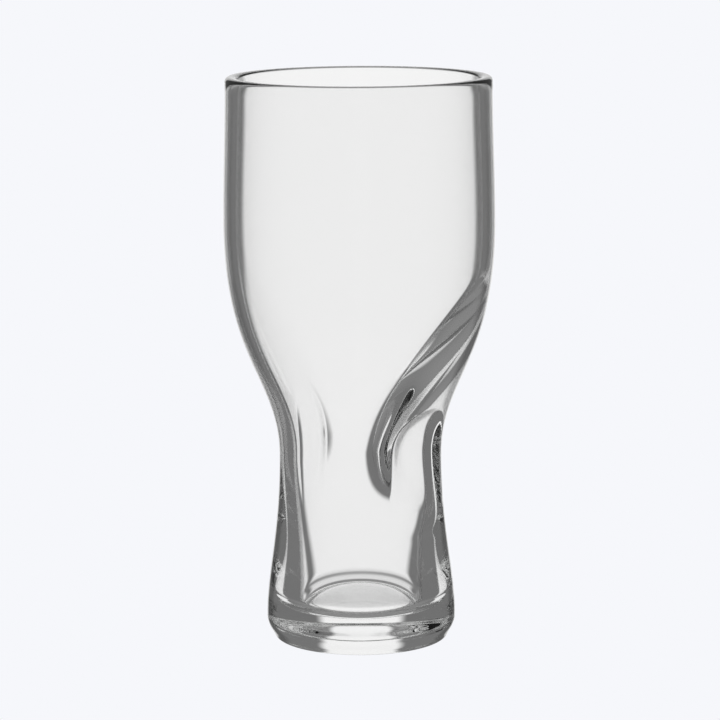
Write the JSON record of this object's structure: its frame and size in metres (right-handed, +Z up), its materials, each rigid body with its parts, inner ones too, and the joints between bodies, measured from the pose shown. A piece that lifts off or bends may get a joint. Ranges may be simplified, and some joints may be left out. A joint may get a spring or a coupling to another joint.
{
  "type": "pint glass",
  "caption": "Stemless pint glass of clear glass with a tall bowl, a narrow waist pressed in by finger dents, a flared foot and a thick base.",
  "frame": {"origin": "centre of the foot, on the plane the glass stands on", "axes": "+Z up along the glass to its rim; -Y is the front, and the first finger dent is 50 degrees from the front towards +X"},
  "size_m": [0.0892, 0.0892, 0.187],
  "materials": {
    "clear_glass": "clear soda-lime glass, fire-polished, smooth inside and out"
  },
  "bodies": {
    "root": {"glass_body": "clear_glass"}
  },
  "joints": []
}
